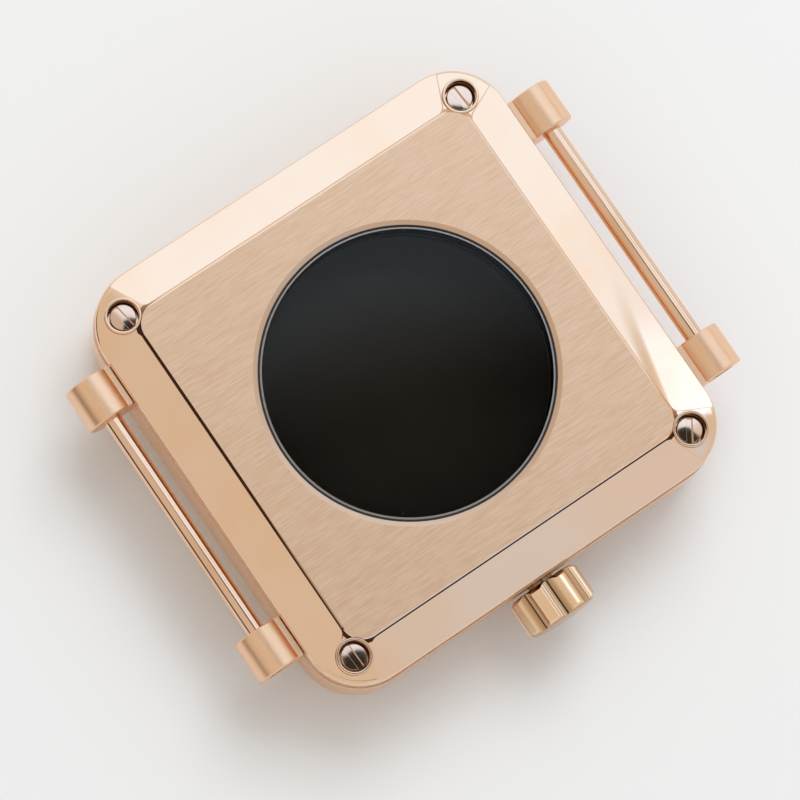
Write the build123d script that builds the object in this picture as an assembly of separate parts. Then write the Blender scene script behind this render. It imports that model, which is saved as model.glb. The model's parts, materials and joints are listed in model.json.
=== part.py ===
"""Empty wristwatch case, 42 mm square, lying on its back.

Frame: millimetres. The origin is the centre of the back face, +Z comes out of
the front crystal, +X points to the crown (3 o'clock) and +Y to 12 o'clock.
"""
from build123d import *
import os
from math import cos, hypot, radians, sin, sqrt, tan

# Outline of the case, seen from the front
case_side = 42.0
case_corner_radius = 5.3
bezel_lip_radius = 0.4
facet_width = 3.25
facet_drop = 0.65
plateau_corner_radius = 2.1
plateau_step_height = 0.15
plateau_step_inset = 0.18
facet_panel_depth = 0.06
facet_panel_corner = 0.8
facet_panel_bite = 0.02
facet_panel_collar_gap = 0.12
facet_panel_end_slant = 25.0
facet_panel_wall_angle = 27.6

# Heights of the three layers, from the back to the front
back_plate_thickness = 1.3
mid_case_height = 7.45
bezel_height = 2.75

# Mid case
mid_case_proud = 0.1
shadow_gap_height = 0.14
shadow_gap_depth = 0.4
mid_case_lower_chamfer = 1.4

# Front crystal and its seat in the bezel
front_crystal_radius = 12.85
front_crystal_thickness = 2.0
front_crystal_recess = 0.08
front_crystal_edge_chamfer = 0.16
front_gasket_wall = 0.2
front_gasket_set_back = 0.22
front_ledge_width = 0.25
bezel_rim_width = 0.42
bezel_rim_depth = 0.16

# Corner screws of the bezel and the collars round them
bezel_screw_inset = 3.25
collar_radius = 1.62
collar_wall = 0.26
collar_rounding = 0.1
collar_top_set_back = 0.06
collar_seat_height = 0.85
screw_head_radius = 1.17
screw_head_height = 0.95
screw_head_chamfer = 0.07
screw_slot_width = 0.56
screw_slot_depth = 0.36
screw_shank_radius = 0.6
screw_hole_clearance = 0.12
screw_grip = 3.4
thread_clearance = 0.02

# Dial ring, movement and the ring that holds the movement
dial_radius = 14.25
dial_clearance = 0.15
dial_overlap = 0.95
dial_ring_height = 0.85
dial_ring_flange = 0.9
dial_ring_flare = 0.35
dial_ledge_height = 0.5
dial_overhang = 0.55
movement_clearance = 0.05
movement_ring_wall = 1.8
stem_slot_half = 0.8

# Case back, its crystal and its screws
back_plate_margin = 1.8
back_plate_corner_radius = 4.2
back_plate_edge_chamfer = 0.35
back_crystal_radius = 14.9
back_crystal_thickness = 1.6
back_crystal_edge_chamfer = 0.12
back_gasket_wall = 0.25
back_gasket_set_back = 0.3
back_ledge_width = 0.3
back_ledge_height = 0.6
spigot_wall = 0.8
back_screw_inset = 4.5
back_screw_head_radius = 1.1
back_screw_head_height = 0.6
back_screw_sink = 0.12
back_screw_shank_radius = 0.5
back_screw_grip = 2.4

# Flat seals between the layers
seal_land = 0.65
seal_width = 0.7
seal_depth = 0.5

# Crown, its tube and its seal
crown_axis_drop = 1.4
crown_radius = 3.45
crown_length = 3.6
crown_gap = 0.35
crown_bevel_width = 0.5
crown_bevel_length = 0.35
crown_dome = 0.3
flute_count = 8
flute_depth = 0.42
flute_radius = 1.3
flute_phase = 22.5
crown_recess_depth = 2.5
crown_recess_clearance = 0.2
crown_tube_radius = 1.25
crown_tube_wall = 0.45
crown_tube_set_back = 2.02
crown_tube_end_gap = 0.25
crown_post_clearance = 0.05
crown_post_reach = 5.4
stem_thread_radius = 0.4
stem_thread_depth = 3.6
stem_hole_radius = 0.9
crown_seal_half_width = 0.24
crown_seal_chamfer = 0.1
crown_seal_offset = 0.2
crown_seal_clearance = 0.02

# Strap ears, strap bars and their end screws
strap_gap = 22.2
ear_width = 4.0
ear_radius = 2.2
ear_edge_chamfer = 0.1
ear_axis_offset = 2.2
ear_axis_height = 8.5
ear_tab_sink = 0.04
ear_root_depth = 1.2
ear_flank_start = 1.0
ear_flank_angle = 40.0
ear_step_width = 0.5
bar_radius = 0.83
bar_seat_depth = 1.2
bar_end_gap = 0.08
bar_running_clearance = 0.04
bar_screw_head_radius = 1.2
bar_screw_head_height = 0.75
bar_screw_sink = 0.1
bar_screw_shank_radius = 0.45
bar_screw_grip = 2.0
bar_slot_width = 0.34
bar_slot_depth = 0.3

# Fits shared by the whole case, and the overrun of every through cut
seat_clearance = 0.03
press_clearance = 0.01
overrun = 1.0

# Places worked out from the sizes above
half_case = case_side / 2
mid_case_side = case_side + 2 * mid_case_proud
half_mid_case = mid_case_side / 2
mid_case_corner_radius = case_corner_radius + mid_case_proud
bezel_base = back_plate_thickness + mid_case_height
front_height = bezel_base + bezel_height
facet_top = front_height - plateau_step_height
lip_height = facet_top - facet_drop
plateau_side = case_side - 2 * (bezel_lip_radius + facet_width)

front_crystal_top = front_height - front_crystal_recess
front_crystal_base = front_crystal_top - front_crystal_thickness
front_bore_radius = front_crystal_radius + front_gasket_wall

collar_base = bezel_base + collar_seat_height
collar_top = front_height - collar_top_set_back
bezel_screw_place = half_case - bezel_screw_inset
screw_hole_radius = screw_shank_radius + screw_hole_clearance
screw_tip = bezel_base - screw_grip

dial_bore_radius = dial_radius + dial_clearance
dial_ring_inner_radius = dial_radius - dial_overlap
dial_ring_outer_radius = dial_bore_radius + dial_ring_flange
dial_seat_height = bezel_base - dial_ring_height
dial_ledge_base = dial_seat_height - dial_ledge_height
crown_axis_height = dial_ledge_base - crown_axis_drop
movement_radius = dial_radius - dial_overhang
movement_bore_radius = movement_radius + movement_clearance
movement_ring_radius = movement_bore_radius + movement_ring_wall
case_bore_radius = movement_ring_radius + seat_clearance

back_crystal_bore_radius = back_crystal_radius + back_gasket_wall
back_ledge_radius = back_crystal_radius - back_ledge_width
spigot_top = back_crystal_thickness + back_ledge_height
spigot_radius = max(back_crystal_bore_radius + spigot_wall, movement_ring_radius)
spigot_bore_radius = spigot_radius + seat_clearance
back_plate_side = mid_case_side - 2 * back_plate_margin
back_screw_place = half_mid_case - back_screw_inset
back_screw_tip = back_plate_thickness + back_screw_grip

front_seal_radius = dial_ring_outer_radius + seat_clearance + seal_land
back_seal_radius = spigot_bore_radius + seal_land

crown_start = half_mid_case + crown_gap
crown_end = crown_start + crown_length
crown_recess_floor = crown_start + crown_recess_depth
crown_recess_radius = crown_tube_radius + crown_recess_clearance
crown_tube_start = case_bore_radius + crown_tube_set_back
crown_tube_end = crown_recess_floor - crown_tube_end_gap
crown_tube_bore_radius = crown_tube_radius - crown_tube_wall
crown_post_radius = crown_tube_bore_radius - crown_post_clearance
crown_post_start = crown_recess_floor - crown_post_reach
crown_seal_inner_radius = crown_tube_radius + crown_seal_clearance
crown_seal_outer_radius = crown_seal_inner_radius + 2 * crown_seal_half_width
crown_gland_start = crown_start + crown_seal_offset
crown_seal_start = crown_gland_start + crown_seal_clearance
crown_seal_end = crown_seal_start + 2 * crown_seal_half_width
crown_gland_radius = crown_seal_outer_radius + crown_seal_clearance
crown_gland_end = crown_seal_end + crown_seal_clearance

ear_start = strap_gap / 2
ear_end = ear_start + ear_width
ear_axis_place = half_mid_case + ear_axis_offset
ear_tab_top = bezel_base - shadow_gap_height - ear_tab_sink
bar_bore_radius = bar_radius + bar_running_clearance
bar_half_length = ear_start + bar_seat_depth - bar_end_gap
bar_screw_head_base = ear_end - bar_screw_sink - bar_screw_head_height
bar_screw_tip = bar_half_length - bar_screw_grip
bar_screw_hole_radius = bar_screw_shank_radius + bar_running_clearance
bar_screw_recess_radius = bar_screw_head_radius + bar_running_clearance

# The four corners, by compass, with the way each slot was left after tightening
corners = {"ne": (1, 1), "se": (1, -1), "sw": (-1, -1), "nw": (-1, 1)}
bezel_slot_angles = {"ne": -33.0, "se": 2.0, "sw": 9.0, "nw": 4.0}
back_slot_angles = {"ne": 40.0, "se": -25.0, "sw": 12.0, "nw": 78.0}


def block(side, corner_radius, low, high):
    """Upright rounded square, centred on the case axis."""
    return Pos(0, 0, low) * extrude(RectangleRounded(side, side, corner_radius), amount=high - low)


def tapered_block(low_side, low_radius, low, high_side, high_radius, high):
    """Rounded square that changes size evenly from one height to another."""
    lower = Pos(0, 0, low) * RectangleRounded(low_side, low_side, low_radius)
    upper = Pos(0, 0, high) * RectangleRounded(high_side, high_side, high_radius)
    return loft([lower, upper], ruled=True)


def disc(radius, low, high, x=0, y=0):
    """Upright cylinder."""
    return Pos(x, y, low) * Cylinder(radius, high - low, align=(Align.CENTER, Align.CENTER, Align.MIN))


def ring(outer_radius, inner_radius, low, high):
    """Upright tube on the case axis."""
    return disc(outer_radius, low, high) - disc(inner_radius, low - overrun, high + overrun)


def cone(low_radius, high_radius, low, high):
    """Upright cone on the case axis."""
    shape = Cone(low_radius, high_radius, high - low, align=(Align.CENTER, Align.CENTER, Align.MIN))
    return Pos(0, 0, low) * shape


def rod(radius, start, end, y, z):
    """Cylinder that lies along X."""
    shape = Cylinder(radius, end - start, align=(Align.CENTER, Align.CENTER, Align.MIN))
    return Pos(start, y, z) * Rot(0, 90, 0) * shape


def slot_cut(width, depth, length, angle):
    """Screwdriver slot whose floor lies below the plane z = 0."""
    return Rot(0, 0, angle) * Box(length, width, 2 * depth)


def screw(head_radius, head_height, chamfer_size, shank_radius, shank_length, width, depth, angle):
    """Cheese-head screw that points down, with the top of its head at z = 0."""
    head = disc(head_radius, -head_height, 0)
    head = chamfer(head.edges().sort_by(Axis.Z)[-1], chamfer_size)
    shank = disc(shank_radius, -head_height - shank_length, -head_height)
    return head + shank - slot_cut(width, depth, 2 * (head_radius + overrun), angle)


def facet_panel_outline(end_half, top, spread):
    """Outline of a facet's panel, narrower towards the plateau, grown by spread on three sides."""
    lean = tan(radians(facet_panel_end_slant))
    shift = spread / cos(radians(facet_panel_end_slant))
    top_half = end_half + shift - spread * lean
    low_half = end_half + shift + (top + overrun) * lean
    outline = Polygon(
        (-low_half, -overrun), (low_half, -overrun), (top_half, top + spread), (-top_half, top + spread),
        align=None,
    )
    upper = outline.vertices().sort_by(Axis.Y)[-2:]
    return fillet(upper, facet_panel_corner + spread)


def facet_panel_cut():
    """Cutter that sinks the -Y facet a little, with walls that lean back at its ends and top."""
    length = hypot(facet_width, facet_drop)
    rise = facet_drop / length
    run = facet_width / length
    across = facet_width + plateau_step_inset
    up = front_height - lip_height
    edge_reach = across * run + up * rise + facet_panel_bite
    edge_height = up * run - across * rise
    wall = tan(radians(facet_panel_wall_angle))
    top = edge_reach - (edge_height + facet_panel_depth) / wall
    slant = radians(facet_panel_end_slant)
    collar_reach = collar_radius + facet_panel_collar_gap
    end_middle = bezel_screw_place - collar_reach * cos(slant)
    end_offset = half_case - bezel_lip_radius - bezel_screw_place - collar_reach * sin(slant)
    end_half = end_middle - (top - end_offset / run) * tan(slant)
    low_edge = (0, bezel_lip_radius - half_case, lip_height)
    sheet = Plane(origin=low_edge, x_dir=(1, 0, 0), z_dir=(0, -facet_drop, facet_width))
    roof_height = front_height - facet_top + facet_panel_depth
    spread = (roof_height + facet_panel_depth) / wall
    floor = Pos(0, 0, -facet_panel_depth) * facet_panel_outline(end_half, top, 0)
    roof = Pos(0, 0, roof_height) * facet_panel_outline(end_half, top, spread)
    return sheet * loft([floor, roof], ruled=True)


def front_bezel():
    """Faceted front frame: plateau, four sloping facets, rounded lip and crystal seat."""
    body = block(case_side, case_corner_radius, bezel_base, lip_height)
    body = fillet(body.faces().sort_by(Axis.Z)[-1].edges(), bezel_lip_radius)
    facet_side = case_side - 2 * bezel_lip_radius
    facet_corner = case_corner_radius - bezel_lip_radius
    body += tapered_block(
        facet_side, facet_corner, lip_height, plateau_side, plateau_corner_radius, facet_top,
    )
    body += tapered_block(
        plateau_side, plateau_corner_radius, facet_top,
        plateau_side - 2 * plateau_step_inset, plateau_corner_radius - plateau_step_inset, front_height,
    )
    for quarter in range(4):
        body -= Rot(0, 0, 90 * quarter) * facet_panel_cut()
    body -= disc(front_crystal_radius - front_ledge_width, bezel_base - overrun, front_height)
    body -= disc(front_bore_radius, front_crystal_base, front_height + overrun)
    rim_low = front_height - bezel_rim_depth
    body -= cone(front_bore_radius, front_bore_radius + bezel_rim_width, rim_low, front_height)
    for x_sign, y_sign in corners.values():
        x = x_sign * bezel_screw_place
        y = y_sign * bezel_screw_place
        body -= disc(collar_radius + press_clearance, collar_base, front_height + overrun, x, y)
        body -= disc(screw_hole_radius, bezel_base - overrun, front_height, x, y)
    return body


def screw_collar(x_sign, y_sign):
    """Round-topped tube about one corner screw, pressed into the bezel and proud of its facet."""
    tube = ring(collar_radius, collar_radius - collar_wall, collar_base, collar_top)
    tube = fillet(tube.faces().sort_by(Axis.Z)[-1].edges(), collar_rounding)
    return Pos(x_sign * bezel_screw_place, y_sign * bezel_screw_place, 0) * tube


def bezel_screw(x_sign, y_sign, angle):
    """Corner screw: its head sits deep in the collar and its shank reaches into the mid case."""
    head_top = collar_base + screw_head_height
    shank_length = collar_base - screw_tip
    body = screw(
        screw_head_radius, screw_head_height, screw_head_chamfer, screw_shank_radius,
        shank_length, screw_slot_width, screw_slot_depth, angle,
    )
    return Pos(x_sign * bezel_screw_place, y_sign * bezel_screw_place, head_top) * body


def front_crystal():
    """Flat round crystal with a polished edge, set just under the plateau."""
    glass = disc(front_crystal_radius, front_crystal_base, front_crystal_top)
    return chamfer(glass.edges().sort_by(Axis.Z)[-1], front_crystal_edge_chamfer)


def front_crystal_gasket():
    """Thin sleeve that grips the front crystal in the bezel."""
    top = front_crystal_top - front_gasket_set_back
    return ring(front_bore_radius, front_crystal_radius, front_crystal_base, top)


def dial_ring():
    """Flange ring between the bezel and the dial, flared towards the dial."""
    body = disc(dial_ring_outer_radius, dial_seat_height, bezel_base)
    return body - cone(
        dial_ring_inner_radius + dial_ring_flare, dial_ring_inner_radius, dial_seat_height, bezel_base,
    )


def strap_ear(x_sign, y_sign):
    """Ear for one end of a strap bar: a barrel, a flank and a step by the bezel, a tab into the wall."""
    root = half_mid_case - ear_root_depth
    barrel = Pos(ear_axis_place, ear_axis_height) * Circle(ear_radius)
    tab_low = ear_axis_height - ear_radius
    tab_centre = Pos((root + ear_axis_place) / 2, (tab_low + ear_tab_top) / 2)
    tab = tab_centre * Rectangle(ear_axis_place - root, ear_tab_top - tab_low)
    flank_top = ear_axis_height + sqrt(ear_radius ** 2 - ear_flank_start ** 2)
    flank_place = ear_axis_place - ear_flank_start
    step_place = half_mid_case + ear_step_width
    step_top = flank_top - (flank_place - step_place) * tan(radians(ear_flank_angle))
    flank = Polygon(
        (flank_place, ear_axis_height), (flank_place, flank_top), (step_place, step_top),
        (half_mid_case, step_top), (half_mid_case, ear_axis_height),
        align=None,
    )
    profile = Plane.YZ * (barrel + tab + flank)
    body = Pos(ear_start, 0, 0) * extrude(profile, amount=ear_width)
    ends = body.faces().sort_by(Axis.X)
    body = chamfer(ends[0].edges() + ends[-1].edges(), ear_edge_chamfer)
    if x_sign < 0:
        body = mirror(body, about=Plane.YZ)
    if y_sign < 0:
        body = mirror(body, about=Plane.XZ)
    return body


def bar_bores(y_sign):
    """Everything that is drilled into a pair of ears for one strap bar."""
    y = y_sign * ear_axis_place
    seat = ear_start + bar_seat_depth
    recess = bar_screw_head_base - bar_end_gap
    cut = rod(bar_bore_radius, -seat, seat, y, ear_axis_height)
    cut += rod(bar_screw_hole_radius, -ear_end, ear_end, y, ear_axis_height)
    cut += rod(bar_screw_recess_radius, recess, ear_end + overrun, y, ear_axis_height)
    cut += rod(bar_screw_recess_radius, -ear_end - overrun, -recess, y, ear_axis_height)
    return cut


def mid_case():
    """Middle of the case: walls, movement bore, seal grooves, ears and all threaded holes."""
    rim_top = bezel_base - shadow_gap_height
    body = block(mid_case_side, mid_case_corner_radius, back_plate_thickness, rim_top)
    body = chamfer(body.faces().sort_by(Axis.Z)[0].edges(), mid_case_lower_chamfer)
    land_side = case_side - 2 * shadow_gap_depth
    body += block(land_side, case_corner_radius - shadow_gap_depth, rim_top, bezel_base)
    for x_sign, y_sign in corners.values():
        body += strap_ear(x_sign, y_sign)
    body -= disc(spigot_bore_radius, back_plate_thickness - overrun, spigot_top)
    body -= disc(case_bore_radius, spigot_top, dial_ledge_base)
    body -= disc(dial_bore_radius, dial_ledge_base, dial_seat_height)
    body -= disc(dial_ring_outer_radius + seat_clearance, dial_seat_height, bezel_base + overrun)
    front_groove_base = bezel_base - seal_depth
    body -= ring(
        front_seal_radius + seal_width, front_seal_radius, front_groove_base, bezel_base + overrun,
    )
    back_groove_top = back_plate_thickness + seal_depth
    body -= ring(
        back_seal_radius + seal_width, back_seal_radius, back_plate_thickness - overrun, back_groove_top,
    )
    for x_sign, y_sign in corners.values():
        front_x = x_sign * bezel_screw_place
        front_y = y_sign * bezel_screw_place
        body -= disc(screw_shank_radius + thread_clearance, screw_tip, bezel_base + overrun, front_x, front_y)
        back_x = x_sign * back_screw_place
        back_y = y_sign * back_screw_place
        back_hole_radius = back_screw_shank_radius + thread_clearance
        body -= disc(back_hole_radius, back_plate_thickness - overrun, back_screw_tip, back_x, back_y)
    tube_hole_radius = crown_tube_radius + press_clearance
    body -= rod(tube_hole_radius, crown_tube_start, half_mid_case + overrun, 0, crown_axis_height)
    body -= rod(stem_hole_radius, 0, crown_tube_start, 0, crown_axis_height)
    body -= bar_bores(1)
    body -= bar_bores(-1)
    return body


def flat_seal(inner_radius, low, high):
    """Flat seal ring that fills its groove but for a small clearance at each side."""
    return ring(inner_radius + seal_width - seat_clearance, inner_radius + seat_clearance, low, high)


def movement_ring():
    """Spacer ring that centres the movement, notched from the back for the winding stem."""
    body = ring(movement_ring_radius, movement_bore_radius, spigot_top, dial_ledge_base)
    slot_top = crown_axis_height + stem_slot_half
    slot_height = slot_top - spigot_top + overrun
    slot = Box(
        movement_ring_radius + overrun, 2 * stem_slot_half, slot_height,
        align=(Align.MIN, Align.CENTER, Align.MAX),
    )
    return body - Pos(0, 0, slot_top) * slot


def case_back():
    """Square back plate with a round spigot, a crystal seat and four sunk screw holes."""
    body = block(back_plate_side, back_plate_corner_radius, 0, back_plate_thickness)
    body = chamfer(body.faces().sort_by(Axis.Z)[0].edges(), back_plate_edge_chamfer)
    body += disc(spigot_radius, back_plate_thickness, spigot_top)
    body -= disc(back_crystal_bore_radius, -overrun, back_crystal_thickness)
    body -= disc(back_ledge_radius, 0, spigot_top + overrun)
    head_room = back_screw_sink + back_screw_head_height
    for x_sign, y_sign in corners.values():
        x = x_sign * back_screw_place
        y = y_sign * back_screw_place
        body -= disc(back_screw_head_radius + seat_clearance, -overrun, head_room, x, y)
        body -= disc(back_screw_shank_radius + seat_clearance, 0, back_plate_thickness + overrun, x, y)
    return body


def back_crystal():
    """Flat display crystal, flush with the outside of the back plate."""
    glass = disc(back_crystal_radius, 0, back_crystal_thickness)
    return chamfer(glass.edges().sort_by(Axis.Z)[0], back_crystal_edge_chamfer)


def back_crystal_gasket():
    """Thin sleeve that grips the display crystal in the back plate."""
    return ring(back_crystal_bore_radius, back_crystal_radius, back_gasket_set_back, back_crystal_thickness)


def case_back_screw(x_sign, y_sign, angle):
    """Screw that holds the back plate, sunk under the back face, pointing into the mid case."""
    head_under = back_screw_sink + back_screw_head_height
    body = screw(
        back_screw_head_radius, back_screw_head_height, screw_head_chamfer, back_screw_shank_radius,
        back_screw_tip - head_under, screw_slot_width, screw_slot_depth, angle,
    )
    place = Pos(x_sign * back_screw_place, y_sign * back_screw_place, back_screw_sink)
    return place * Rot(180, 0, 0) * body


def crown_tube():
    """Tube pressed into the case wall, on which the crown slides and seals."""
    tube = rod(crown_tube_radius, crown_tube_start, crown_tube_end, 0, crown_axis_height)
    return tube - rod(
        crown_tube_bore_radius, crown_tube_start - overrun, crown_tube_end + overrun, 0, crown_axis_height,
    )


def crown():
    """Fluted crown with chamfered ends, a slightly domed cap, a seal gland and a post."""
    rim_radius = crown_radius - crown_bevel_width
    with BuildPart() as turned:
        with BuildSketch(Plane.XY):
            with BuildLine():
                Polyline(
                    (crown_start, 0), (crown_start, rim_radius),
                    (crown_start + crown_bevel_length, crown_radius),
                    (crown_end - crown_bevel_length, crown_radius), (crown_end, rim_radius),
                )
                RadiusArc((crown_end, rim_radius), (crown_end + crown_dome, 0), crown_cap_radius())
                Line((crown_end + crown_dome, 0), (crown_start, 0))
            make_face()
        revolve(axis=Axis.X)
    body = turned.part
    flute_place = crown_radius - flute_depth + flute_radius
    for index in range(flute_count):
        angle = radians(flute_phase + (index + 0.5) * 360 / flute_count)
        y = flute_place * cos(angle)
        z = flute_place * sin(angle)
        body -= rod(flute_radius, crown_start - overrun, crown_end + overrun, y, z)
    body -= rod(crown_recess_radius, crown_start - overrun, crown_recess_floor, 0, 0)
    body -= rod(crown_gland_radius, crown_gland_start, crown_gland_end, 0, 0)
    body += rod(crown_post_radius, crown_post_start, crown_recess_floor, 0, 0)
    body -= rod(stem_thread_radius, crown_post_start - overrun, crown_post_start + stem_thread_depth, 0, 0)
    return Pos(0, 0, crown_axis_height) * body


def crown_cap_radius():
    """Radius of the sphere whose cap closes the outer end of the crown."""
    rim_radius = crown_radius - crown_bevel_width
    return (rim_radius ** 2 + crown_dome ** 2) / (2 * crown_dome)


def crown_gasket():
    """Seal ring with bevelled edges that rides in the crown and wipes the tube."""
    seal = rod(crown_seal_outer_radius, crown_seal_start, crown_seal_end, 0, crown_axis_height)
    seal -= rod(
        crown_seal_inner_radius, crown_seal_start - overrun, crown_seal_end + overrun, 0, crown_axis_height,
    )
    rims = seal.edges().filter_by(GeomType.CIRCLE)
    return chamfer(rims, crown_seal_chamfer)


def strap_bar(y_sign):
    """Polished bar between two ears, drilled and threaded at both ends."""
    y = y_sign * ear_axis_place
    body = rod(bar_radius, -bar_half_length, bar_half_length, y, ear_axis_height)
    hole_radius = bar_screw_shank_radius + press_clearance
    body -= rod(hole_radius, bar_screw_tip, bar_half_length + overrun, y, ear_axis_height)
    body -= rod(hole_radius, -bar_half_length - overrun, -bar_screw_tip, y, ear_axis_height)
    return body


def bar_screw(x_sign, y_sign):
    """Slotted screw in the outer face of an ear, threaded into the end of the bar."""
    body = screw(
        bar_screw_head_radius, bar_screw_head_height, screw_head_chamfer, bar_screw_shank_radius,
        bar_screw_head_base - bar_screw_tip, bar_slot_width, bar_slot_depth, 0,
    )
    place = Pos(x_sign * (ear_end - bar_screw_sink), y_sign * ear_axis_place, ear_axis_height)
    return place * Rot(0, x_sign * 90, 0) * body


def all_nodes():
    """Every piece of the case, by the name of its node."""
    nodes = {
        "front_bezel": front_bezel(),
        "front_crystal": front_crystal(),
        "front_crystal_gasket": front_crystal_gasket(),
        "bezel_gasket": flat_seal(front_seal_radius, bezel_base - seal_depth, bezel_base),
        "dial_ring": dial_ring(),
        "mid_case": mid_case(),
        "movement_ring": movement_ring(),
        "back_gasket": flat_seal(back_seal_radius, back_plate_thickness, back_plate_thickness + seal_depth),
        "case_back": case_back(),
        "back_crystal": back_crystal(),
        "back_crystal_gasket": back_crystal_gasket(),
        "crown_tube": crown_tube(),
        "crown": crown(),
        "crown_gasket": crown_gasket(),
        "strap_bar_12": strap_bar(1),
        "strap_bar_6": strap_bar(-1),
    }
    for name, (x_sign, y_sign) in corners.items():
        nodes["screw_collar_" + name] = screw_collar(x_sign, y_sign)
        nodes["bezel_screw_" + name] = bezel_screw(x_sign, y_sign, bezel_slot_angles[name])
        nodes["case_back_screw_" + name] = case_back_screw(x_sign, y_sign, back_slot_angles[name])
        nodes["bar_screw_" + name] = bar_screw(x_sign, y_sign)
    return nodes


os.makedirs("parts", exist_ok=True)
for node_name, shape in all_nodes().items():
    export_step(shape, "parts/" + node_name + ".step")
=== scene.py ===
"""Looks of the empty watch case: its finishes, the floor, the light and the camera.

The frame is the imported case, in metres: +Z comes out of the front crystal, +X points
to the crown (3 o'clock) and +Y to the strap bar at 12 o'clock. Sizes and places below
are in millimetres, and angles in degrees. A range names where an effect starts and
where it is full. The slopes are the four polished sides of the bezel round its plateau.
"""

import json
import math

import bpy
from mathutils import Matrix, Vector

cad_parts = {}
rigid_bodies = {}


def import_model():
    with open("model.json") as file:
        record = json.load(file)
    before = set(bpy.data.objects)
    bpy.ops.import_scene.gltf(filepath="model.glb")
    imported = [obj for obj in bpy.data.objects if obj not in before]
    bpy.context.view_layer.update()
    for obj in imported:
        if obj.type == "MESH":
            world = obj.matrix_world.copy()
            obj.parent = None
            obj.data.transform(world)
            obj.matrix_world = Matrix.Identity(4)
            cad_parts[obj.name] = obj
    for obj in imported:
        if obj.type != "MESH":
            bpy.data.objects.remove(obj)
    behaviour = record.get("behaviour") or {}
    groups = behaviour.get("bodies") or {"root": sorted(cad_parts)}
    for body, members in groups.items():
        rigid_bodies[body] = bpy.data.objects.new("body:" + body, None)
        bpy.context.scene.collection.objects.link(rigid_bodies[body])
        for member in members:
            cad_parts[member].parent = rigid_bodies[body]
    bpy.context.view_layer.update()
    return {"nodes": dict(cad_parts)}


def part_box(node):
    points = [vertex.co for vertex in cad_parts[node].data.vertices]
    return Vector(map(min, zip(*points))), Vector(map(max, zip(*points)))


for leftover in list(bpy.data.objects):
    bpy.data.objects.remove(leftover)
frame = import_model()

MM = 0.001

# Camera: where it stands and how far it is turned round its own axis
camera_azimuth = 28.73
camera_elevation = 79.55
camera_roll = 27.24
camera_distance = 345.7
camera_aim = Vector((1.62, -1.99, 11.5))
camera_lens = 180.0
camera_sensor = 36.0
camera_reach_m = (0.01, 20.0)

# Colours of the finishes and of painted shade and highlight, linear
rose_gold = (0.90, 0.645, 0.47)
# Painted highlight on the polished edges
rose_gold_highlight = (0.92, 0.70, 0.55)
rose_gold_peach = (0.905, 0.615, 0.42)
# Painted shade: the strap bars' gold is a darker copy of the rose gold
bar_gold_shaded = (0.84, 0.57, 0.40)
bar_gold_shaded_deep = (0.80, 0.52, 0.34)
rose_gold_satin = (0.875, 0.55, 0.342)
rose_gold_satin_pale = (0.955, 0.655, 0.445)
case_satin = (0.885, 0.565, 0.36)
case_satin_pale = (0.925, 0.62, 0.41)
rose_gold_rim = (0.69, 0.475, 0.335)
# Painted shade in the crease round the plateau: dark brown on the far sides, dim rose on the near sides
crease_shade_brown = (0.05, 0.018, 0.008)
crease_shade_rose = (0.62, 0.36, 0.24)
# Painted shade: the crown tube, seen in the gap under the crown, coloured dark brown
tube_painted_shade = (0.30, 0.18, 0.10)
tube_painted_shade_deep = (0.22, 0.12, 0.06)
crown_gold = (0.94, 0.67, 0.45)
crown_gold_deep = (0.90, 0.61, 0.38)
# Painted shade at the bottom of the crown's flutes
crown_flute_shade = (0.40, 0.22, 0.10)
screw_pale = (0.81, 0.60, 0.475)
screw_deep = (0.71, 0.51, 0.39)
# Painted shade in the collar bores, towards the sunk screw heads
bore_painted_shade = (0.30, 0.16, 0.09)
seal_black = (0.012, 0.012, 0.013)
seal_grey = (0.03, 0.03, 0.032)
ring_black = (0.010, 0.010, 0.011)
ring_grey = (0.022, 0.022, 0.024)
# Painted shade: the grey tint of the crystals darkens the empty case seen through them
glass_shade_tint = (0.48, 0.455, 0.42)
glass_shade_haze = (0.455, 0.43, 0.395)
glass_edge = (0.80, 0.76, 0.74)
floor_colour = (0.84, 0.83, 0.82)

# Colours of the light, linear: 1 is white
sky_warm = (0.75, 0.70, 0.62)
sky_cool = (0.72, 0.82, 0.96)
panel_light = (1.08, 1.30, 1.56)
hot_light = (1.34, 1.72, 2.25)
low_light = (0.98, 1.12, 1.22)
warm_light = (0.77, 0.78, 0.81)
dim_brown = (0.25, 0.17, 0.12)
deep_brown = (0.03, 0.012, 0.006)
no_light = (0.0, 0.0, 0.0)

# Polish: blotches of colour, edges made paler as a painted highlight, hairlines and waves, each wave as
# its size and height
blotch_size = 7.0
blotch_range = (0.42, 0.68)
edge_highlight_range = (0.995, 0.90)
edge_highlight_share = 0.35
hairline_width = 0.05
hairline_length = 2.5
hairline_roughness = 0.05
blotch_roughness = 0.03
slope_wave = (9.0, 0.035)
screw_wave = (1.6, 0.05)
edge_round = 0.05
edge_samples = 6

# Satin: fine and broad streaks that wander
streak_width = 0.08
streak_length = 1.9
broad_streak_width = 0.28
broad_streak_length = 5.0
fine_share = 0.75
streak_range = (0.36, 0.64)
streak_relief = 0.003
streak_wander = 0.15
wander_size = 5.0
satin_roughness = 0.28
satin_roughness_spread = 0.12
satin_anisotropy = 0.5

# Roughness of the other finishes, and a low index for the surfaces of painted shade, which then mirror
# almost nothing
polish_roughness = 0.07
collar_roughness = 0.06
crown_roughness = 0.09
tube_roughness = 0.2
rim_roughness = 0.38
painted_shade_roughness = 0.8
painted_shade_ior = 1.1
floor_roughness = 0.9

# Rubber and plastic: size of the grain, roughness and relief
seal_grain = (0.15, 0.6, 0.01)
ring_grain = (0.3, 0.5, 0.008)
grain_range = (0.35, 0.7)
grain_roughness_spread = 0.2

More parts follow.
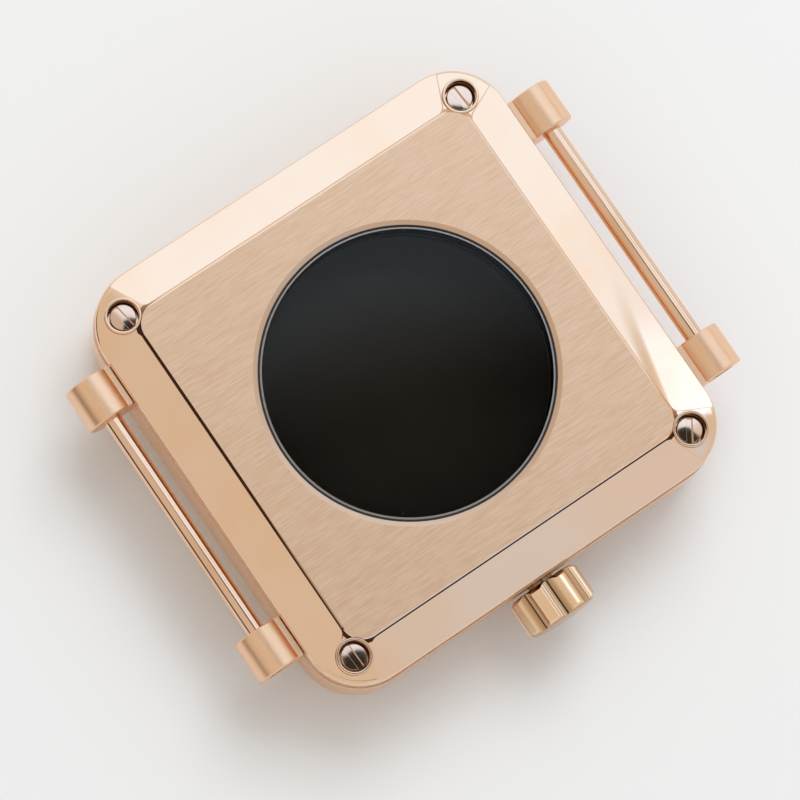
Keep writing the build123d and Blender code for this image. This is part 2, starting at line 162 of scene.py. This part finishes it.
# Glass: haze, specks of dust and the ground chamfer, found by how far its faces tilt
haze_range = (0.4, 0.7)
speck_size = 0.12
speck_range = (0.74, 0.86)
speck_roughness = 0.3
chamfer_roughness = 0.25
chamfer_transmission = 0.6
chamfer_level_range = (0.95, 0.9)
chamfer_upright_range = (0.3, 0.4)
coated_glass_ior = 1.25

# Where one finish of the case ends and another starts
satin_from_height = 11.495
flat_face_level = 0.99
ear_zone_start = 21.12
rim_zone_radius = 13.6

# Painted shade in the crease round the plateau: dark brown at 6 and 3 o'clock, thinner towards +X, and
# rose at 9 and 12
crease_foot_range = (11.29, 11.30)
crease_top_softness = 0.02
rose_crease_top = 11.36
thin_crease_top = 11.41
full_crease_top = 11.49
crease_thinning_range = (-4.0, 12.0)
crease_shade_rose_way = (-0.7, 0.7, 0.0)
crease_shade_rose_range = (-0.5, 3.0)

# Faint ramp in the polish of the slope at 12 o'clock: its edge meets the plateau at X = ramp_end
# and slants away from it towards 9 o'clock
slope_inner_height = 11.29
slope_fall = 0.2
ramp_end = 16.7
ramp_slant = 0.235
ramp_width = 1.7
ramp_height = 0.062
ramp_x_range = (0.0, 12.0)
ramp_y_range = (0.0, 10.0)

# Crown flutes and collar bores, both with painted shade in their hollows, and corner screw heads
crown_radius = 3.45
flute_shade_range = (0.084, 0.42)
flute_shade_share = 0.75
collar_bore_shade_range = (1.42, 1.37)
screw_dome = 0.03

# Studio. Each side is an azimuth and an elevation, and its range is of the cosine to it.
# A height is that of the direction: 0 is level and 1 is straight up
cool_side = (135, 0)
cool_range = (0.31, 0.365)
cool_y_range = (0.5, 0.35)
low_glow = (222, 4, 44, 60)
low_glow_height_range = (0.26, 0.16)
shade_side = (330, 0)
shade_range = (0.825, 0.87)
shade_foot_range = (0.05, 0.12)
shade_top_range = (0.62, 0.42)
shade_share = 0.95

# Lobes laid over the sky in this order: azimuth, elevation, inner and outer angle, share, colour
studio_lobes = [
    (127.3, 64.5, 4.4, 5.6, 1.0, warm_light),
    (214, 72, 4, 13, 0.9, panel_light),
    (225, 53, 20, 27, 1.0, panel_light),
    (187, 35, 5, 8, 1.0, hot_light),
    (178, 54.7, 5.4, 6.2, 0.3, sky_warm),
    (178, 54.7, 4.4, 5.2, 1.0, hot_light),
    (166, 83, 7, 9, 0.96, no_light),
    (5, 3, 8, 16, 0.8, dim_brown),
]

# Key lamp: azimuth, elevation, distance, size and power in watts
key_lamp = (222, 55, 900, 500, 3.0)

# Floor: how far it lies below the case's back, and how far it reaches each way
floor_drop = 0.02
floor_half = 2500.0


class Tree:
    """Short ways to add nodes to one node tree and link them."""

    def __init__(self, tree):
        self.tree = tree
        tree.nodes.clear()

    def node(self, kind, inputs=None, **settings):
        made = self.tree.nodes.new(kind)
        for name, value in settings.items():
            setattr(made, name, value)
        for name, value in (inputs or {}).items():
            self.feed(made.inputs[name], value)
        return made

    def feed(self, socket, value):
        if isinstance(value, bpy.types.NodeSocket):
            self.tree.links.new(value, socket)
        elif isinstance(value, tuple) and len(value) == 3 and socket.type == "RGBA":
            socket.default_value = (*value, 1.0)
        else:
            socket.default_value = value

    def math(self, operation, a, b=0.0, c=0.0):
        return self.node("ShaderNodeMath", {0: a, 1: b, 2: c}, operation=operation).outputs[0]

    def times(self, a, b):
        return self.math("MULTIPLY", a, b)

    def minus(self, a, b):
        return self.math("SUBTRACT", a, b)

    def between(self, share, a, b):
        """Value that goes from a to b as share goes from 0 to 1."""
        return self.math("MULTIPLY_ADD", share, self.minus(b, a), a)

    def vector(self, operation, a, b=(0.0, 0.0, 0.0)):
        made = self.node("ShaderNodeVectorMath", {0: a, 1: b}, operation=operation)
        return made.outputs["Value" if operation in ("DOT_PRODUCT", "LENGTH") else "Vector"]

    def split(self, vector):
        return self.node("ShaderNodeSeparateXYZ", {0: vector}).outputs

    def level_length(self, vector):
        """Length of the vector's X and Y part."""
        return self.vector("LENGTH", self.vector("MULTIPLY", vector, (1.0, 1.0, 0.0)))

    def step(self, value, low, high, to_low=0.0, to_high=1.0):
        """Smooth change from to_low to to_high as value goes from low to high."""
        inputs = {"Value": value, "From Min": low, "From Max": high, "To Min": to_low, "To Max": to_high}
        return self.node("ShaderNodeMapRange", inputs, interpolation_type="SMOOTHSTEP").outputs["Result"]

    def mix(self, share, a, b):
        """Colour that goes from a to b as share goes from 0 to 1."""
        # The node's colours are sockets 6 and 7, and its mixed colour is output 2
        made = self.node("ShaderNodeMix", data_type="RGBA")
        self.feed(made.inputs["Factor"], share)
        self.feed(made.inputs[6], a)
        self.feed(made.inputs[7], b)
        return made.outputs[2]

    def blend(self, share, a, b):
        """Finish that goes from a to b as share goes from 0 to 1."""
        return self.node("ShaderNodeMixShader", {0: share, 1: a, 2: b}).outputs[0]

    def principled(self, inputs):
        return self.node("ShaderNodeBsdfPrincipled", inputs).outputs["BSDF"]

    def place(self):
        """Position on the object, in millimetres."""
        coordinates = self.node("ShaderNodeTexCoord").outputs["Object"]
        return self.vector("MULTIPLY", coordinates, (1 / MM, 1 / MM, 1 / MM))

    def levelness(self):
        """1 on a face that looks straight up or down, 0 on an upright wall."""
        face_normal = self.node("ShaderNodeTexCoord").outputs["Normal"]
        return self.math("ABSOLUTE", self.split(face_normal)["Z"])

    def noise(self, place, sizes, detail=2.0, roughness=0.5):
        """Noise whose grains have the given size, or sizes along X, Y and Z, in millimetres.

        Detail counts the finer layers over the first, and roughness is how strong each is.
        """
        if not isinstance(sizes, tuple):
            sizes = (sizes, sizes, sizes)
        scaled = self.vector("DIVIDE", place, sizes)
        inputs = {"Vector": scaled, "Scale": 1.0, "Detail": detail, "Roughness": roughness}
        return self.node("ShaderNodeTexNoise", inputs).outputs["Fac"]

    def bump(self, height, distance, normal=None):
        """Normal of a surface raised by height times distance, in millimetres."""
        inputs = {"Height": height, "Distance": distance * MM}
        if normal is not None:
            inputs["Normal"] = normal
        return self.node("ShaderNodeBump", inputs).outputs["Normal"]

    def finish(self, surface):
        self.node("ShaderNodeOutputMaterial", {"Surface": surface})


def new_material(name):
    material = bpy.data.materials.new(name)
    material.use_nodes = True
    return material, Tree(material.node_tree)


def rounded_normal(tree):
    """Normal that turns softly over the sharp edges, as a polished or worn edge does."""
    bevel = tree.node("ShaderNodeBevel", {"Radius": edge_round * MM}, samples=edge_samples)
    return bevel.outputs["Normal"]


def edge_highlight(tree, normal):
    """0 on a face, up to 1 on an edge: how far the rounded normal leaves the true one."""
    true_normal = tree.node("ShaderNodeNewGeometry").outputs["True Normal"]
    return tree.step(tree.vector("DOT_PRODUCT", normal, true_normal), *edge_highlight_range)


def metal(tree, colour, roughness, normal, anisotropy=0.0):
    inputs = {
        "Base Color": colour, "Metallic": 1.0, "Roughness": roughness, "Normal": normal,
        "Anisotropic": anisotropy,
    }
    if anisotropy:
        inputs["Tangent"] = tree.node("ShaderNodeCombineXYZ", {"X": 1.0}).outputs[0]
    return tree.principled(inputs)


def painted_shade_surface(tree, colour, normal):
    """Painted shade for a narrow gap, where little light gets in: a dark surface that mirrors almost
    nothing.
    """
    return tree.principled({
        "Base Color": colour, "Roughness": painted_shade_roughness, "IOR": painted_shade_ior, "Normal": normal,
    })


def polished(tree, place, colour, blotch_colour, normal, roughness=polish_roughness, wave=slope_wave):
    """Mirror finish with faint waves, colour blotches, hairlines and edges made paler as a painted
    highlight.
    """
    blotch = tree.noise(place, blotch_size, detail=3.0)
    tint = tree.mix(tree.step(blotch, *blotch_range), colour, blotch_colour)
    # Painted highlight: the edges are tinted paler
    tint = tree.mix(tree.times(edge_highlight(tree, normal), edge_highlight_share), tint, rose_gold_highlight)
    hairline_sizes = (hairline_width, hairline_length, hairline_width)
    hairline = tree.noise(place, hairline_sizes, detail=1.0)
    smoothest = roughness - hairline_roughness / 2
    rough = tree.math("MULTIPLY_ADD", hairline, hairline_roughness, smoothest)
    rough = tree.math("MULTIPLY_ADD", blotch, blotch_roughness, rough)
    size, height = wave
    waved = tree.bump(tree.noise(place, size, detail=0.0), height, normal)
    return metal(tree, tint, rough, waved)


def satin(tree, place, colours, normal, along="Y", anisotropy=satin_anisotropy):
    """Brushed finish: fine and broad streaks that run along one axis or two and wander a little."""
    shift = tree.times(tree.noise(place, wander_size, detail=1.0), streak_wander)
    drift = tree.node("ShaderNodeCombineXYZ", {0: shift, 1: shift, 2: shift}).outputs[0]
    place = tree.vector("ADD", place, drift)
    fine_sizes = [streak_length if axis in along else streak_width for axis in "XYZ"]
    broad_sizes = [broad_streak_length if axis in along else broad_streak_width for axis in "XYZ"]
    fine_streak = tree.noise(place, tuple(fine_sizes), roughness=0.6)
    broad_streak = tree.noise(place, tuple(broad_sizes))
    broad_level = tree.times(broad_streak, 1 - fine_share)
    level = tree.math("MULTIPLY_ADD", fine_streak, fine_share, broad_level)
    tint = tree.mix(tree.step(level, *streak_range), *colours)
    rough = tree.math("MULTIPLY_ADD", level, satin_roughness_spread, satin_roughness)
    return metal(tree, tint, rough, tree.bump(fine_streak, streak_relief, normal), anisotropy)


def on_plateau(tree, place):
    return tree.math("GREATER_THAN", tree.split(place)["Z"], satin_from_height)


def on_ears(tree, place):
    reach = tree.math("ABSOLUTE", tree.split(place)["Y"])
    return tree.step(reach, ear_zone_start, ear_zone_start + edge_round)


def slope_ramp(tree, place, normal):
    """Normal of the faint ramp that crosses the slope at 12 o'clock near the crown's side."""
    axes = tree.split(place)
    from_plateau = tree.math("DIVIDE", tree.minus(slope_inner_height, axes["Z"]), slope_fall)
    ramp_edge = tree.times(tree.minus(ramp_end, axes["X"]), ramp_slant)
    inside = tree.minus(ramp_edge, from_plateau)
    share = tree.times(tree.step(axes["X"], *ramp_x_range), tree.step(axes["Y"], *ramp_y_range))
    raised = tree.times(tree.step(inside, 0.0, ramp_width), share)
    return tree.bump(raised, ramp_height, normal)


def crease_painted_shade(tree, place, normal):
    """Painted shade in the crease round the plateau, as a surface, and 1 where it applies."""
    axes = tree.split(place)
    rose = tree.step(tree.vector("DOT_PRODUCT", place, crease_shade_rose_way), *crease_shade_rose_range)
    surface = painted_shade_surface(tree, tree.mix(rose, crease_shade_brown, crease_shade_rose), normal)
    dark_top = tree.step(axes["X"], *crease_thinning_range, full_crease_top, thin_crease_top)
    top = tree.between(rose, dark_top, rose_crease_top)
    below_top = tree.step(tree.minus(top, axes["Z"]), 0.0, crease_top_softness)
    above_foot = tree.step(axes["Z"], *crease_foot_range)
    return surface, tree.times(above_foot, below_top)


def bezel_finish(name):
    """Satin plateau, softly finished crystal rim, polished slopes and a dark line of painted shade in
    the crease.
    """
    material, tree = new_material(name)
    place = tree.place()
    normal = rounded_normal(tree)
    bright = polished(tree, place, rose_gold, rose_gold_peach, slope_ramp(tree, place, normal))
    # Painted shade: a dark line in the crease round the plateau
    crease, in_crease_shade = crease_painted_shade(tree, place, normal)
    slopes = tree.blend(in_crease_shade, bright, crease)
    rim = metal(tree, rose_gold_rim, rim_roughness, normal)
    on_rim = tree.math("LESS_THAN", tree.level_length(place), rim_zone_radius)
    lower = tree.blend(on_rim, slopes, rim)
    brushed = satin(tree, place, (rose_gold_satin, rose_gold_satin_pale), None)
    tree.finish(tree.blend(on_plateau(tree, place), lower, brushed))
    return material


def case_finish(name):
    """Satin all over: level brushing on the walls and streaks along the ears."""
    material, tree = new_material(name)
    place = tree.place()
    normal = rounded_normal(tree)
    walls = satin(tree, place, (case_satin, case_satin_pale), normal, "XY", 0.0)
    ears = satin(tree, place, (case_satin, case_satin_pale), normal, "X", 0.0)
    tree.finish(tree.blend(on_ears(tree, place), walls, ears))
    return material


def back_finish(name):
    """Satin on the level faces and polished on walls and chamfers."""
    material, tree = new_material(name)
    place = tree.place()
    normal = rounded_normal(tree)
    bright = polished(tree, place, rose_gold, rose_gold_peach, normal)
    brushed = satin(tree, place, (rose_gold_satin, rose_gold_satin_pale), normal)
    on_level_faces = tree.math("GREATER_THAN", tree.levelness(), flat_face_level)
    tree.finish(tree.blend(on_level_faces, bright, brushed))
    return material


def polished_metal(name, colour, blotch_colour, roughness=polish_roughness, wave=slope_wave):
    material, tree = new_material(name)
    place = tree.place()
    tree.finish(polished(tree, place, colour, blotch_colour, rounded_normal(tree), roughness, wave))
    return material


def corner_screw_offset(tree, place):
    """Level way from the axis of the nearest corner screw to the place, in millimetres."""
    low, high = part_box("bezel_screw_ne")
    axis = tuple((low + high) / (2 * MM))
    across = tree.vector("SUBTRACT", tree.vector("ABSOLUTE", place), axis)
    return tree.vector("MULTIPLY", across, (1.0, 1.0, 0.0))


def collar_finish(name):
    """Polished tube whose bore turns dark towards the sunk screw head: painted shade."""
    material, tree = new_material(name)
    place = tree.place()
    normal = rounded_normal(tree)
    bright = polished(tree, place, rose_gold, rose_gold_peach, normal, collar_roughness)
    radius = tree.vector("LENGTH", corner_screw_offset(tree, place))
    in_bore_shade = tree.step(radius, *collar_bore_shade_range)
    collar_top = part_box("screw_collar_ne")[1].z / MM
    head_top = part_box("bezel_screw_ne")[1].z / MM
    deep = tree.step(tree.split(place)["Z"], (collar_top + head_top) / 2, head_top)
    # Painted shade in the bore, darkest near the screw head
    tree.finish(tree.blend(tree.times(in_bore_shade, deep), bright, painted_shade_surface(tree, bore_painted_shade, normal)))
    return material


def corner_screw_finish(name):
    """Polished screw whose head is very slightly domed."""
    material, tree = new_material(name)
    place = tree.place()
    offset = corner_screw_offset(tree, place)
    drop = tree.vector("DOT_PRODUCT", offset, offset)
    domed = tree.bump(tree.times(drop, -1.0), screw_dome, rounded_normal(tree))
    tree.finish(polished(tree, place, screw_pale, screw_deep, domed, wave=screw_wave))
    return material


def crown_finish(name):
    """Polished gold with painted shade at the bottom of each flute."""
    material, tree = new_material(name)
    place = tree.place()
    low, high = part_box("crown")
    from_axis = tree.vector("SUBTRACT", place, (0.0, 0.0, (low.z + high.z) / (2 * MM)))
    radius = tree.vector("LENGTH", tree.vector("MULTIPLY", from_axis, (0.0, 1.0, 1.0)))
    depth = tree.minus(crown_radius, radius)
    # Painted shade, darkest at the bottom of each flute
    in_flute_shade = tree.times(tree.step(depth, *flute_shade_range), flute_shade_share)
    colour = tree.mix(in_flute_shade, crown_gold, crown_flute_shade)
    deep_colour = tree.mix(in_flute_shade, crown_gold_deep, crown_flute_shade)
    tree.finish(polished(tree, place, colour, deep_colour, rounded_normal(tree), crown_roughness))
    return material


def soft_solid(name, colour, pale_colour, grain):
    """Rubber or moulded plastic: dark, with a fine grain in colour, gloss and relief."""
    material, tree = new_material(name)
    size, roughness, relief = grain
    speck = tree.noise(tree.place(), size, detail=4.0, roughness=0.6)
    tint = tree.mix(tree.step(speck, *grain_range), colour, pale_colour)
    smoothest = roughness - grain_roughness_spread / 2
    rough = tree.math("MULTIPLY_ADD", speck, grain_roughness_spread, smoothest)
    tree.finish(tree.principled({
        "Base Color": tint, "Roughness": rough, "Normal": tree.bump(speck, relief),
    }))
    return material


def crystal(name):
    """Mineral glass with a grey tint, painted shade that darkens the empty case seen through it, with a
    coated face, a few specks and a bright ground edge.
    """
    material, tree = new_material(name)
    place = tree.place()
    haze = tree.noise(place, blotch_size, detail=4.0)
    # Painted shade: a grey tint with faint random variation
    tint = tree.mix(tree.step(haze, *haze_range), glass_shade_tint, glass_shade_haze)
    speck = tree.noise(place, speck_size, detail=1.0)
    rough = tree.step(speck, *speck_range, 0.0, speck_roughness)
    face = tree.principled({
        "Base Color": tint, "Roughness": rough, "IOR": coated_glass_ior, "Transmission Weight": 1.0,
    })
    edge = tree.principled({
        "Base Color": glass_edge, "Roughness": chamfer_roughness, "IOR": coated_glass_ior,
        "Transmission Weight": chamfer_transmission,
    })
    levelness = tree.levelness()
    off_faces = tree.step(levelness, *chamfer_level_range)
    on_chamfer = tree.times(off_faces, tree.step(levelness, *chamfer_upright_range))
    tree.finish(tree.blend(on_chamfer, face, edge))
    return material


def dress(nodes, material):
    """Gives CAD nodes one finish in place of the one they were packed with."""
    for name in nodes:
        for slot in frame["nodes"][name].material_slots:
            slot.material = material


def four(prefix):
    return [prefix + corner for corner in ("ne", "se", "sw", "nw")]


def dress_all():
    dress(["front_bezel"], bezel_finish("bezel_rose_gold_finish"))
    dress(["mid_case"], case_finish("case_rose_gold_finish"))
    dress(["case_back", "dial_ring"], back_finish("back_rose_gold_finish"))
    # Painted shade: the crown tube is dark brown for the shade in the gap under the crown
    tube = polished_metal("tube_painted_shade_finish", tube_painted_shade, tube_painted_shade_deep, tube_roughness)
    dress(["crown_tube"], tube)
    dress(four("screw_collar_"), collar_finish("collar_rose_gold_finish"))
    # Painted shade: the bars take a darker copy of the rose gold
    bars = polished_metal("strap_bar_finish", bar_gold_shaded, bar_gold_shaded_deep)
    dress(["strap_bar_12", "strap_bar_6"], bars)
    dress(["crown"], crown_finish("crown_gold_finish"))
    dress(four("bezel_screw_"), corner_screw_finish("corner_screw_finish"))
    screws = polished_metal("screw_steel_finish", screw_pale, screw_deep, wave=screw_wave)
    dress(four("case_back_screw_") + four("bar_screw_"), screws)
    dress(["front_crystal", "back_crystal"], crystal("crystal_glass_finish"))
    gaskets = ["front_crystal", "bezel", "back", "back_crystal", "crown"]
    seals = [part + "_gasket" for part in gaskets]
    dress(seals, soft_solid("seal_rubber_finish", seal_black, seal_grey, seal_grain))
    dress(["movement_ring"], soft_solid("movement_ring_finish", ring_black, ring_grey, ring_grain))


def towards(azimuth, elevation):
    """Unit vector from the case: azimuth 0 is -Y and 90 is +X, as for the camera."""
    a, e = math.radians(azimuth), math.radians(elevation)
    return Vector((math.sin(a) * math.cos(e), -math.cos(a) * math.cos(e), math.sin(e)))


def nearness(tree, direction, azimuth, elevation):
    """Cosine of the angle between the direction and the given one."""
    return tree.vector("DOT_PRODUCT", direction, tuple(towards(azimuth, elevation)))


def lobe(tree, direction, azimuth, elevation, inner, outer):
    """1 within inner degrees of the aim, falling softly to 0 at outer degrees."""
    cosine = nearness(tree, direction, azimuth, elevation)
    return tree.step(cosine, math.cos(math.radians(outer)), math.cos(math.radians(inner)))


def make_world():
    """Soft studio: a cool and a warm half, bright panels, a dark patch overhead and a dark low side."""
    world = bpy.data.worlds.new("studio")
    bpy.context.scene.world = world
    world.use_nodes = True
    tree = Tree(world.node_tree)
    direction = tree.node("ShaderNodeTexCoord").outputs["Generated"]
    axes = tree.split(direction)
    coolness = tree.step(nearness(tree, direction, *cool_side), *cool_range)
    coolness = tree.times(coolness, tree.step(axes["Y"], *cool_y_range))
    light = tree.mix(coolness, sky_warm, sky_cool)
    low = tree.times(lobe(tree, direction, *low_glow), tree.step(axes["Z"], *low_glow_height_range))
    light = tree.mix(low, light, low_light)
    for azimuth, elevation, inner, outer, share, colour in studio_lobes:
        covered = lobe(tree, direction, azimuth, elevation, inner, outer)
        light = tree.mix(tree.times(covered, share), light, colour)
    side = tree.step(nearness(tree, direction, *shade_side), *shade_range)
    band = tree.times(tree.step(axes["Z"], *shade_foot_range), tree.step(axes["Z"], *shade_top_range))
    shade = tree.times(tree.times(side, band), shade_share)
    light = tree.mix(shade, light, deep_brown)
    background = tree.node("ShaderNodeBackground", {"Color": light, "Strength": 1.0})
    tree.node("ShaderNodeOutputWorld", {"Surface": background.outputs[0]})


def make_floor():
    mesh = bpy.data.meshes.new("floor")
    half = floor_half * MM
    low = -floor_drop * MM
    corners = [(-half, -half, low), (half, -half, low), (half, half, low), (-half, half, low)]
    mesh.from_pydata(corners, [], [(0, 1, 2, 3)])
    floor = bpy.data.objects.new("floor", mesh)
    bpy.context.scene.collection.objects.link(floor)
    material, tree = new_material("pale_floor")
    tree.finish(tree.principled({"Base Color": floor_colour, "Roughness": floor_roughness}))
    mesh.materials.append(material)


def make_lamp(name, azimuth, elevation, distance, size, power):
    """Square soft lamp that points at the case. It isn't seen in the metal: the world's panels are."""
    light = bpy.data.lights.new(name, "AREA")
    light.shape = "SQUARE"
    light.size = size * MM
    light.energy = power
    lamp = bpy.data.objects.new(name, light)
    bpy.context.scene.collection.objects.link(lamp)
    away = towards(azimuth, elevation)
    lamp.location = away * distance * MM
    lamp.rotation_mode = "QUATERNION"
    lamp.rotation_quaternion = away.to_track_quat("Z", "Y")
    lamp.visible_glossy = False
    lamp.visible_transmission = False


def make_camera():
    """Long lens from the photograph's side, turned round its axis as the photograph is."""
    data = bpy.data.cameras.new("camera")
    data.lens = camera_lens
    data.sensor_width = camera_sensor
    data.clip_start, data.clip_end = camera_reach_m
    camera = bpy.data.objects.new("camera", data)
    bpy.context.scene.collection.objects.link(camera)
    back = towards(camera_azimuth, camera_elevation)
    level_right = Vector((0.0, 0.0, 1.0)).cross(back).normalized()
    level_up = back.cross(level_right)
    roll = math.radians(camera_roll)
    right = level_right * math.cos(roll) + level_up * math.sin(roll)
    up = level_up * math.cos(roll) - level_right * math.sin(roll)
    turn = Matrix((right, up, back)).transposed()
    place = (camera_aim + back * camera_distance) * MM
    camera.matrix_world = Matrix.Translation(place) @ turn.to_4x4()
    bpy.context.scene.camera = camera


bpy.context.scene.view_settings.view_transform = "Standard"
dress_all()
make_world()
make_floor()
make_lamp("key", *key_lamp)
make_camera()
